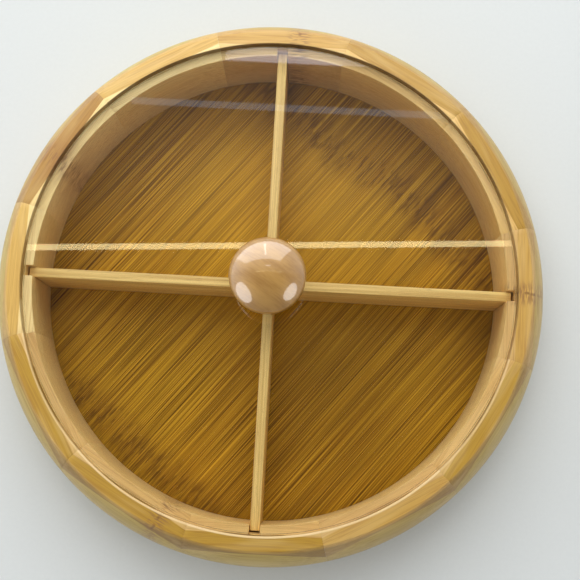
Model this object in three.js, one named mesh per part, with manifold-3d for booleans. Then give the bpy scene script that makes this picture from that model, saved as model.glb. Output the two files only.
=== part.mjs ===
// Divided dried fruit tray. A round bamboo tray whose bulging wall is glued up from staves, with a
// bamboo floor panel let in from below, two crossed dividers that lift out of slots in the wall,
// and a clear lid with a turned wooden knob that drops into a rebate in the rim.
// Millimetres, +Z up. The origin is the centre of the foot ring, on the surface the tray stands on.
// The dividers lie along X and Y, and each slot is in the middle of a stave.
import * as THREE from "three";
import { mergeVertices } from "three/addons/utils/BufferGeometryUtils.js";
import Module from "manifold-3d";

// Wall
const staveCount = 12;
const innerRadius = 118.5;
const ledgeWidth = 4.75; // shelf under the edge of the lid
const rimWidth = 7.2; // top face outside the lid
const rimFall = 1.4; // how far the top face falls towards its outer edge
const bellyBulge = 9.55; // how far the wall stands out past its top face, half way up
const footWidth = 5.5; // ring that the tray stands on
const lidRecess = 5.5; // ledge to the top of the rim
const glueLine = 0.15; // gap at every glued joint
const rimEase = 0.8; // rounding of the rim's inner edge
const shoulderEase = 1.6; // rounding where the top face meets the belly
const ledgeEase = 0.7; // rounding of the ledge's inner edge
const footEase = 1.0; // rounding of the foot's outer edge

// Floor
const floorThickness = 5;
const footRecess = 2.5; // air under the floor panel
const compartmentDepth = 40; // floor to ledge
const floorLip = 4.5; // how far the floor panel's rebate runs under the wall
const floorClearance = 0.3; // around the floor panel's edge in its rebate

// Dividers
const dividerThickness = 4.8;
const dividerEase = 0.4; // rounding of the boards' edges
const slotDepth = 3.8; // into the wall, from its inside face
const slotClearance = 0.3; // each side of a board in its slot, and in the other board's notch
const dividerEndGap = 0.9; // each end of a board to the end of its slot
const lapClearance = 0.3; // between the boards at the bottom of their notches

// Lid
const lidThickness = 3;
const lidClearance = 0.5; // between the lid's edge and the rebate
const lidEase = 0.4; // chamfer on the lid's polished edge
const holeClearance = 0.3; // around the screw in the lid and in the washer

// Knob, turned from one piece, and what holds it
const knobHeight = 30;
const knobRadius = 18.6;
const knobBellyHeight = 17.5; // where the knob is widest
const knobNeckRadius = 8.5;
const knobNeckHeight = 7.5;
const knobBaseRadius = 10.5;
const knobBaseEase = 1.2;
const screwRadius = 2;
const screwBite = 16; // length of screw inside the knob
const screwHeadRadius = 4;
const screwHeadHeight = 2.4;
const screwHeadroom = 1.6; // air between the screw's head and the dividers
const screwRecessLength = 4.6; // cross recess in the screw's head
const screwRecessWidth = 1;
const screwRecessDepth = 1.3;
const threadClearance = 0.12; // between the screw and the hole it was driven into
const pilotTipGap = 2; // pilot hole past the screw's tip
const washerRadius = 6;
const washerThickness = 1;

// Fineness of the round surfaces
const stepsPerStave = 8;
const ringSteps = staveCount * stepsPerStave;
const turnedSteps = 40; // knob, screw and washer
const bellySteps = 8; // rim to belly, and belly to foot
const easeSteps = 2;
const overcut = 1; // how far a cutter runs past what it cuts

// Heights and radii that follow from the sizes above
const floorTop = footRecess + floorThickness;
const ledgeHeight = floorTop + compartmentDepth;
const rimHeight = ledgeHeight + lidRecess;
const shoulderHeight = rimHeight - rimFall;
const bellyHeight = rimHeight / 2;
const rebateRadius = innerRadius + ledgeWidth;
const shoulderRadius = rebateRadius + rimWidth;
const outerRadius = shoulderRadius + bellyBulge;
const floorRebateRadius = innerRadius + floorLip;
const footRadius = floorRebateRadius + footWidth;
const staveAngle = (2 * Math.PI) / staveCount;
const lidTop = ledgeHeight + lidThickness;
const slotWidth = dividerThickness + 2 * slotClearance;
const dividerHeight = compartmentDepth - washerThickness - screwHeadHeight - screwHeadroom;

const wasm = await Module();
wasm.setup();

/** A closed three.js geometry as a manifold-3d solid. */
function toSolid(geometry) {
  const bare = geometry.clone();
  bare.deleteAttribute("normal");
  bare.deleteAttribute("uv");
  const merged = mergeVertices(bare);
  return new wasm.Manifold(
    new wasm.Mesh({
      numProp: 3,
      vertProperties: merged.attributes.position.array,
      triVerts: new Uint32Array(merged.index.array),
    }),
  );
}

/** A manifold-3d solid as a flat-shaded three.js geometry. */
function toGeometry(solid) {
  const mesh = solid.getMesh();
  const geometry = new THREE.BufferGeometry()
    .setAttribute("position", new THREE.BufferAttribute(mesh.vertProperties, 3))
    .setIndex(new THREE.BufferAttribute(mesh.triVerts, 1))
    .toNonIndexed();
  geometry.computeVertexNormals();
  return geometry;
}

/** Points of an arc from start to belly, upright where it reaches the belly. */
function bellyArc(start, belly, steps) {
  const out = belly.x - start.x;
  const rise = start.y - belly.y;
  const sweep = 2 * Math.atan2(out, Math.abs(rise));
  const radius = (out * out + rise * rise) / (2 * out);
  const points = [];
  for (let i = 0; i <= steps; i++) {
    const angle = sweep * (1 - i / steps);
    points.push(
      new THREE.Vector2(
        belly.x - radius * (1 - Math.cos(angle)),
        belly.y + Math.sign(rise) * radius * Math.sin(angle),
      ),
    );
  }
  return points;
}

/** A closed outline with the corners that have an ease rounded to that radius. */
function roundCorners(corners) {
  const points = [];
  corners.forEach((corner, i) => {
    if (!corner.ease) {
      points.push(new THREE.Vector2(corner.x, corner.y));
      return;
    }
    const here = new THREE.Vector2(corner.x, corner.y);
    const before = corners.at(i - 1);
    const after = corners[(i + 1) % corners.length];
    const back = new THREE.Vector2(before.x, before.y).sub(here).normalize();
    const ahead = new THREE.Vector2(after.x, after.y).sub(here).normalize();
    const cut = corner.ease / Math.tan(back.angleTo(ahead) / 2);
    const curve = new THREE.QuadraticBezierCurve(
      here.clone().addScaledVector(back, cut),
      here,
      here.clone().addScaledVector(ahead, cut),
    );
    points.push(...curve.getPoints(easeSteps));
  });
  return points;
}

/** A profile of radius and height turned about the Z axis. A profile off the axis closes on itself. */
function turn(profile, steps) {
  const closed = profile[0].x === 0 ? profile : [...profile, profile[0]];
  return new THREE.LatheGeometry(closed, steps).rotateX(Math.PI / 2);
}

/** Outline of the wall's section, round from the foot's inner edge, up the outside and down the inside. */
function wallProfile() {
  const belly = new THREE.Vector2(outerRadius, bellyHeight);
  const foot = new THREE.Vector2(footRadius, 0);
  const shoulder = new THREE.Vector2(shoulderRadius, shoulderHeight);
  const lower = bellyArc(foot, belly, bellySteps).slice(1);
  const upper = bellyArc(shoulder, belly, bellySteps).reverse().slice(1, -1);
  return roundCorners([
    { x: floorRebateRadius, y: 0 },
    { x: foot.x, y: foot.y, ease: footEase },
    ...lower,
    ...upper,
    { x: shoulder.x, y: shoulder.y, ease: shoulderEase },
    { x: rebateRadius, y: rimHeight, ease: rimEase },
    { x: rebateRadius, y: ledgeHeight },
    { x: innerRadius, y: ledgeHeight, ease: ledgeEase },
    { x: innerRadius, y: floorTop + glueLine },
    { x: floorRebateRadius, y: floorTop + glueLine },
  ]);
}

/** A prism that holds one stave about the X axis, half a glue line short of each neighbour. */
function staveWedge() {
  const half = staveAngle / 2;
  const reach = (outerRadius + overcut) / Math.cos(half);
  const tip = glueLine / 2 / Math.sin(half);
  const outline = new THREE.Shape()
    .moveTo(tip, 0)
    .lineTo(tip + reach * Math.cos(half), -reach * Math.sin(half))
    .lineTo(tip + reach * Math.cos(half), reach * Math.sin(half))
    .closePath();
  const height = rimHeight + 2 * overcut;
  const prism = new THREE.ExtrudeGeometry(outline, { depth: height, bevelEnabled: false });
  return prism.translate(0, 0, -overcut);
}

/** Flat disc glued up into the rebate under the wall. */
function floorPanel() {
  const edge = floorRebateRadius - floorClearance;
  const profile = [
    [0, 0],
    [edge, 0],
    [edge, floorThickness],
    [0, floorThickness],
  ].map(([x, y]) => new THREE.Vector2(x, y));
  return turn(profile, ringSteps);
}

/** The space that a divider's end drops into, open at the top and to the inside of the tray. */
function dividerSlot() {
  const length = slotDepth + overcut;
  const height = compartmentDepth + 2 * overcut;
  const box = new THREE.BoxGeometry(length, slotWidth, height);
  return box.translate(innerRadius + slotDepth - length / 2, 0, floorTop + compartmentDepth / 2);
}

/** A board on edge along X, with a notch half way through it from its top or its bottom. */
function dividerBoard(notchFromTop) {
  const half = innerRadius + slotDepth - dividerEndGap;
  const notch = slotWidth / 2;
  const middle = dividerHeight / 2;
  const outline = new THREE.Shape();
  if (notchFromTop) {
    outline
      .moveTo(-half, 0)
      .lineTo(half, 0)
      .lineTo(half, dividerHeight)
      .lineTo(notch, dividerHeight)
      .lineTo(notch, middle)
      .lineTo(-notch, middle)
      .lineTo(-notch, dividerHeight)
      .lineTo(-half, dividerHeight);
  } else {
    outline
      .moveTo(-half, 0)
      .lineTo(-notch, 0)
      .lineTo(-notch, middle + lapClearance)
      .lineTo(notch, middle + lapClearance)
      .lineTo(notch, 0)
      .lineTo(half, 0)
      .lineTo(half, dividerHeight)
      .lineTo(-half, dividerHeight);
  }
  const board = new THREE.ExtrudeGeometry(outline.closePath(), {
    depth: dividerThickness - 2 * dividerEase,
    bevelThickness: dividerEase,
    bevelSize: dividerEase,
    bevelOffset: -dividerEase,
    bevelSegments: easeSteps,
  });
  return board.translate(0, 0, dividerEase - dividerThickness / 2).rotateX(Math.PI / 2);
}

/** Clear disc with chamfered edges and a hole for the knob's screw. */
function lidDisc() {
  const hole = screwRadius + holeClearance;
  const edge = rebateRadius - lidClearance;
  const profile = [
    [hole, 0],
    [edge - lidEase, 0],
    [edge, lidEase],
    [edge, lidThickness - lidEase],
    [edge - lidEase, lidThickness],
    [hole, lidThickness],
  ].map(([x, y]) => new THREE.Vector2(x, y));
  return turn(profile, ringSteps);
}

/** Mushroom knob: flared base, waisted neck and domed cap, with a pilot hole up its middle. */
function turnedKnob() {
  const pilot = screwRadius + threadClearance;
  const pilotTop = screwBite + pilotTipGap;
  const waist = new THREE.QuadraticBezierCurve(
    new THREE.Vector2(knobBaseRadius, knobBaseEase),
    new THREE.Vector2(knobNeckRadius, knobNeckHeight / 2),
    new THREE.Vector2(knobNeckRadius, knobNeckHeight),
  );
  const underside = new THREE.CubicBezierCurve(
    new THREE.Vector2(knobNeckRadius, knobNeckHeight),
    new THREE.Vector2(knobNeckRadius, (knobNeckHeight + knobBellyHeight) / 2),
    new THREE.Vector2(knobRadius, (knobNeckHeight + knobBellyHeight) / 2),
    new THREE.Vector2(knobRadius, knobBellyHeight),
  );
  const dome = new THREE.EllipseCurve(
    0,
    knobBellyHeight,
    knobRadius,
    knobHeight - knobBellyHeight,
    0,
    Math.PI / 2,
  );
  const cap = dome.getPoints(bellySteps);
  cap[cap.length - 1].set(0, knobHeight);
  return turn(
    [
      new THREE.Vector2(0, pilotTop),
      new THREE.Vector2(pilot, pilotTop - pilot),
      new THREE.Vector2(pilot, 0),
      new THREE.Vector2(knobBaseRadius - knobBaseEase, 0),
      ...waist.getPoints(bellySteps / 2),
      ...underside.getPoints(bellySteps).slice(1),
      ...cap.slice(1),
    ],
    turnedSteps,
  );
}

/** Flat washer between the screw's head and the lid. */
function knobWasher() {
  const hole = screwRadius + holeClearance;
  const profile = [
    [hole, 0],
    [washerRadius, 0],
    [washerRadius, washerThickness],
    [hole, washerThickness],
  ].map(([x, y]) => new THREE.Vector2(x, y));
  return turn(profile, turnedSteps);
}

/** Pan head screw, head down, with a cross recess. Its height 0 is where its head meets the washer. */
function knobScrew() {
  const length = washerThickness + lidThickness + screwBite;
  const crown = new THREE.EllipseCurve(
    0,
    -screwHeadHeight / 2,
    screwHeadRadius,
    screwHeadHeight / 2,
    -Math.PI / 2,
    0,
  );
  const underHead = crown.getPoints(bellySteps / 2);
  underHead[0].set(0, -screwHeadHeight);
  const body = turn(
    [
      ...underHead,
      new THREE.Vector2(screwHeadRadius, 0),
      new THREE.Vector2(screwRadius, 0),
      new THREE.Vector2(screwRadius, length - screwRadius),
      new THREE.Vector2(0, length),
    ],
    turnedSteps,
  );
  const across = new THREE.BoxGeometry(screwRecessLength, screwRecessWidth, 2 * screwRecessDepth);
  const along = new THREE.BoxGeometry(screwRecessWidth, screwRecessLength, 2 * screwRecessDepth);
  const recess = toSolid(across).add(toSolid(along)).translate(0, 0, -screwHeadHeight);
  return toGeometry(toSolid(body).subtract(recess));
}

// Finishes
const ringBamboo = new THREE.MeshStandardMaterial({ color: 0xdcb877, roughness: 0.42 });
const floorBamboo = new THREE.MeshStandardMaterial({ color: 0x9a6c2a, roughness: 0.4 });
const boardBamboo = new THREE.MeshStandardMaterial({ color: 0xdfbf86, roughness: 0.5 });
const lacqueredWood = new THREE.MeshStandardMaterial({ color: 0xc09468, roughness: 0.18 });
const zincSteel = new THREE.MeshStandardMaterial({ color: 0xb9bcc0, roughness: 0.35, metalness: 1 });
const clearAcrylic = new THREE.MeshStandardMaterial({
  color: 0xf4f8f8,
  roughness: 0.05,
  transparent: true,
  opacity: 0.2,
});

/** A named mesh at a height above the base. */
function place(name, geometry, material, height) {
  const mesh = new THREE.Mesh(geometry, material);
  mesh.name = name;
  mesh.position.z = height;
  return mesh;
}

const tray = new THREE.Group();
const ring = toSolid(turn(wallProfile(), ringSteps));
const plainStave = ring.intersect(toSolid(staveWedge()));
const slottedStave = plainStave.subtract(toSolid(dividerSlot()));
const staveShapes = { plain: toGeometry(plainStave), slotted: toGeometry(slottedStave) };
const dividerEnds = 4;
for (let i = 0; i < staveCount; i++) {
  const holdsDivider = i % (staveCount / dividerEnds) === 0;
  const shape = holdsDivider ? staveShapes.slotted : staveShapes.plain;
  const stave = place(`stave_${String(i + 1).padStart(2, "0")}`, shape, ringBamboo, 0);
  stave.rotation.z = i * staveAngle;
  tray.add(stave);
}
tray.add(place("floor_panel", floorPanel(), floorBamboo, footRecess));

const lowerDivider = place("divider_lower", dividerBoard(true), boardBamboo, floorTop);
const upperDivider = place("divider_upper", dividerBoard(false), boardBamboo, floorTop);
upperDivider.rotation.z = Math.PI / 2;
tray.add(lowerDivider, upperDivider);

const lid = new THREE.Group();
lid.add(place("lid_disc", lidDisc(), clearAcrylic, ledgeHeight));
lid.add(place("lid_knob", turnedKnob(), lacqueredWood, lidTop));
lid.add(place("knob_washer", knobWasher(), zincSteel, ledgeHeight - washerThickness));
lid.add(place("knob_screw", knobScrew(), zincSteel, ledgeHeight - washerThickness));
tray.add(lid);

export default tray;
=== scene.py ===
"""Looks of the divided dried fruit tray: staved bamboo wall, floor, crossed boards and a clear lid."""

import logging
import math
from dataclasses import dataclass, field
from enum import Enum
from typing import Any

import bpy
from mathutils import Euler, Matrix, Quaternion, Vector


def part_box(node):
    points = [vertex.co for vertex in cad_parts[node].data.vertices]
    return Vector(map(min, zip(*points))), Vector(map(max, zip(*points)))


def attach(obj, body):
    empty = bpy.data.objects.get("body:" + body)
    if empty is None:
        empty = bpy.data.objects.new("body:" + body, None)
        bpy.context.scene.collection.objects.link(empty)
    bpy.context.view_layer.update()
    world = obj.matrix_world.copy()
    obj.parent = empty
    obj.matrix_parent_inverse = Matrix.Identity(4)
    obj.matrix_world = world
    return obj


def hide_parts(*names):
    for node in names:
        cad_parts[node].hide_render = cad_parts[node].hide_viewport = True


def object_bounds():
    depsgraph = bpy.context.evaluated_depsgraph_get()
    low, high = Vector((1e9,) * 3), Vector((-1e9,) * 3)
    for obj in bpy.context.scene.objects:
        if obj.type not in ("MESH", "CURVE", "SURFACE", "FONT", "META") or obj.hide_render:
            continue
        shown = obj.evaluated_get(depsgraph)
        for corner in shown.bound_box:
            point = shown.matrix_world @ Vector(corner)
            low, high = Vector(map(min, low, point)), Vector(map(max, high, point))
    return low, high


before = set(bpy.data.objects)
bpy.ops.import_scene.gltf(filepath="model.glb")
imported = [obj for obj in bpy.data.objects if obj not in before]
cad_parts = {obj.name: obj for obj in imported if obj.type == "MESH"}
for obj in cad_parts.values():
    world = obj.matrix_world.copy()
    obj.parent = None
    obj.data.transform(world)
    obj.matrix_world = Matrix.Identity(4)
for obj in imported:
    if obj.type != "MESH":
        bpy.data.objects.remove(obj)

CAD_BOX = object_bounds()
LOG = logging.getLogger("fruit_tray")

Cell = tuple[float, float, float]
Colour = tuple[float, float, float, float]
Span = tuple[float, float]
Socket = bpy.types.NodeSocket
Material = bpy.types.Material
Piece = bpy.types.Object

MM = 0.001
UP = (0.0, 0.0, 1.0)
ORIGIN = (0.0, 0.0, 0.0)
FULL_TURN = 2.0 * math.pi
QUARTER_TURN = math.pi / 2.0
WELD = 0.002 * MM
SMOOTH_ANGLE = math.radians(32.0)
BOARD_CLEARANCE = 0.3 * MM
GRAIN_DEPTH = 0.05 * MM
GRAIN_STRENGTH = 0.5
POLISHED_DEPTH = 0.02 * MM
NOISE_SPAN = (0.3, 0.7)
SEED_STRIDE = (7.31, 3.17, 5.03)


def cell_mm(along: float, across: float, up: float) -> Cell:
    """Size of a noise's clouds, given in millimetres."""
    return (along * MM, across * MM, up * MM)


def tint(code: int) -> Colour:
    """Turn a six-digit screen colour into the linear colour that a socket takes.

    Args:
        code: The colour as 0xRRGGBB.

    Returns:
        Linear red, green and blue, and an alpha of 1.
    """
    shades = [(code >> shift & 0xFF) / 255.0 for shift in (16, 8, 0)]
    red, green, blue = [s / 12.92 if s <= 0.04045 else ((s + 0.055) / 1.055) ** 2.4 for s in shades]
    return (red, green, blue, 1.0)


def at(reach: float, height: float) -> Vector:
    """A point of a section: its distance from the axis and its height, in the XZ plane."""
    return Vector((reach, 0.0, height))


@dataclass(frozen=True)
class Corner:
    """A corner of a section: its distance from the axis, its height, and the radius that eases it."""

    reach: float
    height: float
    ease: float = 0.0

    @property
    def point(self) -> Vector:
        """The corner in the XZ plane."""
        return at(self.reach, self.height)


def eased(corners: list[Corner], steps: int = 5) -> list[Vector]:
    """Round the corners of a closed section.

    Args:
        corners: The section's corners in order.
        steps: Straight pieces in each rounding.

    Returns:
        Points of the section in the XZ plane.
    """
    points: list[Vector] = []
    for i, corner in enumerate(corners):
        here = corner.point
        if not corner.ease:
            points.append(here)
            continue
        back = (corners[i - 1].point - here).normalized()
        ahead = (corners[(i + 1) % len(corners)].point - here).normalized()
        cut = corner.ease / math.tan(back.angle(ahead) / 2.0)
        points += sweep(here + back * cut, here, here, here + ahead * cut, steps)
    return points


def sweep(start: Vector, leave: Vector, arrive: Vector, end: Vector, steps: int) -> list[Vector]:
    """Points of a smooth curve between two ends.

    Args:
        start: First point.
        leave: Handle that the curve leaves start towards.
        arrive: Handle that the curve reaches end from.
        end: Last point.
        steps: Straight pieces in the curve.

    Returns:
        The points, both ends included.
    """
    points = []
    for i in range(steps + 1):
        t = i / steps
        s = 1.0 - t
        points.append(start * s**3 + leave * 3 * s * s * t + arrive * 3 * s * t * t + end * t**3)
    return points


class Bench:
    """Hand tools: each one drives Blender's own operators on the piece that is being made."""

    @staticmethod
    def clear() -> None:
        """Leave edit mode and deselect everything."""
        if bpy.context.mode != "OBJECT":
            bpy.ops.object.mode_set(mode="OBJECT")
        bpy.ops.object.select_all(action="DESELECT")

    @classmethod
    def pick(cls, piece: Piece) -> None:
        """Select one piece alone and make it the active one.

        Args:
            piece: The piece to work on.
        """
        cls.clear()
        piece.select_set(True)
        bpy.context.view_layer.objects.active = piece

    @classmethod
    def trace(cls, name: str, outline: list[Vector], closed: bool = True) -> Piece:
        """Draw an outline by extruding one vertex from point to point.

        Args:
            name: The new piece's name.
            outline: Points in order, in metres.
            closed: Whether the last point joins the first.

        Returns:
            The piece, in edit mode with all of it selected.
        """
        cls.clear()
        bpy.ops.mesh.primitive_plane_add(size=MM)
        piece = bpy.context.active_object
        piece.name = piece.data.name = name
        bpy.ops.object.mode_set(mode="EDIT")
        bpy.ops.mesh.merge(type="CENTER")
        bpy.ops.transform.translate(value=outline[0])
        route = outline + outline[:1] if closed else outline
        for here, there in zip(route, route[1:]):
            bpy.ops.mesh.extrude_region_move(TRANSFORM_OT_translate={"value": there - here})
        cls.weld()
        return piece

    @staticmethod
    def weld() -> None:
        """Merge doubles all over the mesh in edit mode and turn its faces outwards."""
        bpy.ops.mesh.select_all(action="SELECT")
        bpy.ops.mesh.remove_doubles(threshold=WELD)
        bpy.ops.mesh.normals_make_consistent(inside=False)

    @classmethod
    def spin(cls, steps: int, angle: float = FULL_TURN) -> None:
        """Spin what is traced about the upright axis.

        Args:
            steps: Straight pieces round the turn.
            angle: How far it turns.
        """
        bpy.ops.mesh.select_all(action="SELECT")
        bpy.ops.mesh.spin(steps=steps, angle=angle, center=ORIGIN, axis=UP)
        cls.weld()

    @classmethod
    def bevel(cls, piece: Piece, width: float, segments: int = 2) -> None:
        """Ease a piece's sharp edges.

        Args:
            piece: The piece to ease.
            width: Width of the bevel.
            segments: Faces across the bevel.
        """
        cls.pick(piece)
        bpy.ops.object.modifier_add(type="BEVEL")
        modifier = piece.modifiers[-1]
        modifier.width = width
        modifier.segments = segments
        modifier.limit_method = "ANGLE"
        modifier.angle_limit = SMOOTH_ANGLE
        bpy.ops.object.modifier_apply(modifier=modifier.name)

    @classmethod
    def block(cls, low: Vector, high: Vector) -> Piece:
        """Add a block for cutting with.

        Args:
            low: Its lowest corner.
            high: Its highest corner.

        Returns:
            The block.
        """
        cls.clear()
        bpy.ops.mesh.primitive_cube_add(size=1.0, location=(low + high) / 2.0, scale=high - low)
        bpy.ops.object.transform_apply(location=True, rotation=True, scale=True)
        return bpy.context.active_object

    @classmethod
    def cut(cls, piece: Piece, cutter: Piece) -> None:
        """Cut one piece out of another and throw the cutter away.

        Args:
            piece: The piece that is cut.
            cutter: The shape that comes out of it.
        """
        cls.pick(piece)
        bpy.ops.object.modifier_add(type="BOOLEAN")
        modifier = piece.modifiers[-1]
        modifier.operation = "DIFFERENCE"
        modifier.solver = "EXACT"
        modifier.object = cutter
        bpy.ops.object.modifier_apply(modifier=modifier.name)
        mesh = cutter.data
        bpy.data.objects.remove(cutter)
        bpy.data.meshes.remove(mesh)

    @classmethod
    def copy(cls, piece: Piece, name: str, turn: float = 0.0) -> Piece:
        """Copy a piece with its own mesh, turned about the upright axis.

        Args:
            piece: The piece to copy.
            name: The copy's name.
            turn: How far the copy is turned.

        Returns:
            The copy, with its turn in its mesh.
        """
        cls.pick(piece)
        bpy.ops.object.duplicate()
        twin = bpy.context.active_object
        twin.name = twin.data.name = name
        twin.rotation_euler.z = turn
        bpy.ops.object.transform_apply(location=False, rotation=True, scale=False)
        return twin

    @classmethod
    def move(cls, piece: Piece, place: Vector, turn: float = 0.0) -> None:
        """Put a piece in its place and leave that place in its mesh.

        Args:
            piece: The piece to move.
            place: How far it goes.
            turn: How far it turns about the upright axis first.
        """
        cls.pick(piece)
        piece.rotation_euler.z = turn
        piece.location = place
        bpy.ops.object.transform_apply(location=True, rotation=True, scale=True)

    @classmethod
    def smooth(cls, piece: Piece) -> None:
        """Shade a piece smooth across its soft edges."""
        cls.pick(piece)
        bpy.ops.object.shade_smooth_by_angle(angle=SMOOTH_ANGLE)

    @classmethod
    def scrap(cls, piece: Piece) -> None:
        """Throw a pattern piece away once its copies are made.

        Args:
            piece: The pattern.
        """
        cls.pick(piece)
        mesh = piece.data
        bpy.ops.object.delete()
        bpy.data.meshes.remove(mesh)


class NodeBoard:
    """A node tree, wired one step at a time."""

    def __init__(self, tree: bpy.types.NodeTree) -> None:
        """Start with the tree empty."""
        self.tree = tree
        self.tree.nodes.clear()

    def node(self, kind: str, feeds: dict[int | str, Any], **settings: Any) -> bpy.types.Node:
        """Add a node.

        Args:
            kind: The node's type, without Blender's prefix.
            feeds: What goes into its sockets: another socket, or a constant.
            settings: The node's own options.

        Returns:
            The node.
        """
        made = self.tree.nodes.new(f"ShaderNode{kind}")
        for key, value in settings.items():
            setattr(made, key, value)
        for key, value in feeds.items():
            if isinstance(value, Socket):
                self.tree.links.new(value, made.inputs[key])
            else:
                made.inputs[key].default_value = value
        return made

    def axes(self, space: Socket) -> tuple[Socket, Socket, Socket]:
        """The three numbers of a coordinate."""
        parts = self.node("SeparateXYZ", {0: space}).outputs
        return parts[0], parts[1], parts[2]

    def noise(self, space: Socket, cell: Cell, detail: float = 2.0, seed: float = 0.0,
              rough: float = 0.5) -> Socket:
        """Cloudy noise whose clouds have a given size.

        Args:
            space: Coordinates to read.
            cell: Size of a cloud along each axis, in metres.
            detail: Octaves of finer noise.
            seed: Offset that gives each surface its own clouds.
            rough: Strength of the finer noise.

        Returns:
            A number about 0.5.
        """
        stretch = tuple(1.0 / size for size in cell)
        spot = tuple(seed * stride for stride in SEED_STRIDE)
        near = self.node("Mapping", {"Vector": space, "Location": spot, "Scale": stretch}).outputs[0]
        feeds = {"Vector": near, "Scale": 1.0, "Detail": detail, "Roughness": rough}
        return self.node("TexNoise", feeds).outputs[0]

    def ramp(self, value: Socket, low: float, high: float, start: float = 0.0, end: float = 1.0) -> Socket:
        """Ease a number from one level to another.

        Args:
            value: The number.
            low: Where the change begins.
            high: Where it is complete.
            start: Result at low and below.
            end: Result at high and above.

        Returns:
            The eased number.
        """
        feeds = {"Value": value, "From Min": low, "From Max": high, "To Min": start, "To Max": end}
        return self.node("MapRange", feeds, interpolation_type="SMOOTHSTEP").outputs[0]

    def edge(self, value: Socket, mark: float, span: Span, start: float = 0.0, end: float = 1.0) -> Socket:
        """Ease a number from one level to another over a span that is measured from a mark."""
        return self.ramp(value, mark + span[0], mark + span[1], start, end)

    def sum(self, *shares: tuple[Socket, float]) -> Socket:
        """Add numbers, each by its own share.

        Args:
            shares: Each number with its share.

        Returns:
            The total.
        """
        total: Socket | float = 0.0
        for value, share in shares:
            total = self.node("Math", {0: value, 1: share, 2: total}, operation="MULTIPLY_ADD").outputs[0]
        return total

    def times(self, first: Socket, second: Socket | float) -> Socket:
        """Multiply two numbers."""
        return self.node("Math", {0: first, 1: second}, operation="MULTIPLY").outputs[0]

    def off(self, value: Socket, centre: float) -> Socket:
        """How far a number is from a centre, either way."""
        apart = self.node("Math", {0: value, 1: centre}, operation="SUBTRACT").outputs[0]
        return self.node("Math", {0: apart}, operation="ABSOLUTE").outputs[0]

    def far(self, across: Socket, along: Socket) -> Socket:
        """Distance from an axis.

        Args:
            across: Distance one way.
            along: Distance square to it.

        Returns:
            The distance.
        """
        square = self.times(across, across)
        total = self.node("Math", {0: along, 1: along, 2: square}, operation="MULTIPLY_ADD").outputs[0]
        return self.node("Math", {0: total}, operation="SQRT").outputs[0]

    def mix(self, share: Socket | float, base: Any, over: Any, way: str = "MIX") -> Socket:
        """Lay one colour over another.

        Args:
            share: How much of the upper colour shows.
            base: The lower colour.
            over: The upper colour.
            way: How they are blended.

        Returns:
            The blended colour.
        """
        feeds = {0: share, 6: base, 7: over}
        return self.node("Mix", feeds, data_type="RGBA", blend_type=way).outputs[2]


class Recipe(NodeBoard):
    """A material's node tree."""

    def __init__(self, name: str) -> None:
        """Start a new material with nothing but its output.

        Args:
            name: The material's name.
        """
        self.material = bpy.data.materials.new(name)
        self.material.use_nodes = True
        super().__init__(self.material.node_tree)
        self.output = self.node("OutputMaterial", {})

    def space(self, turn: float = 0.0) -> Socket:
        """The piece's own coordinates, turned about the upright axis."""
        coords = self.node("TexCoord", {}).outputs["Object"]
        return self.node("Mapping", {"Vector": coords, "Rotation": (0.0, 0.0, turn)}).outputs[0]

    def bump(self, height: Socket, depth: float, strength: float) -> Socket:
        """A surface normal from a height.

        Args:
            height: Number from 0 to 1.
            depth: What 1 stands for, in metres.
            strength: Share of the relief that shows.

        Returns:
            The normal.
        """
        feeds = {"Strength": strength, "Distance": depth, "Height": height}
        return self.node("Bump", feeds).outputs["Normal"]

    def surface(self, **sockets: Any) -> Material:
        """Finish with one principled surface.

        Args:
            sockets: What goes into its sockets, named with underscores for spaces.

        Returns:
            The material.
        """
        feeds = {key.replace("_", " "): value for key, value in sockets.items()}
        shader = self.node("BsdfPrincipled", feeds)
        return self.finish(shader.outputs[0])

    def finish(self, shader: Socket) -> Material:
        """Send a shader to the output and hand the material over."""
        self.tree.links.new(shader, self.output.inputs["Surface"])
        return self.material


class StaveTone(Enum):
    """Colours of a stave: its inner wall, the lid's ledge, the rim's middle strip and the belly."""

    # The wall and ledge colours are one inner strip in two tones: painted light and shade for how each face
    # is lit.
    PALE = (0xF4D286, 0xFCDE96, 0xDDB25A, 0xC6AA4E)
    HONEY = (0xFFD88A, 0xDAB068, 0xD0A34E, 0xC0A048)
    GOLD = (0xFFDC90, 0xDEB468, 0xC0942E, 0xC2A44A)
    TAN = (0xE8BE6E, 0xE8BE6E, 0xBE9238, 0xBFA04A)
    RUSSET = (0xFFE09A, 0xFADA90, 0xB48434, 0xC4A450)
    # UMBER's dark wall is painted shade on the back stave's inner face, which faces away from the light.
    UMBER = (0xD2A85C, 0xECC67C, 0xD0A34E, 0xC0A048)


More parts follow.
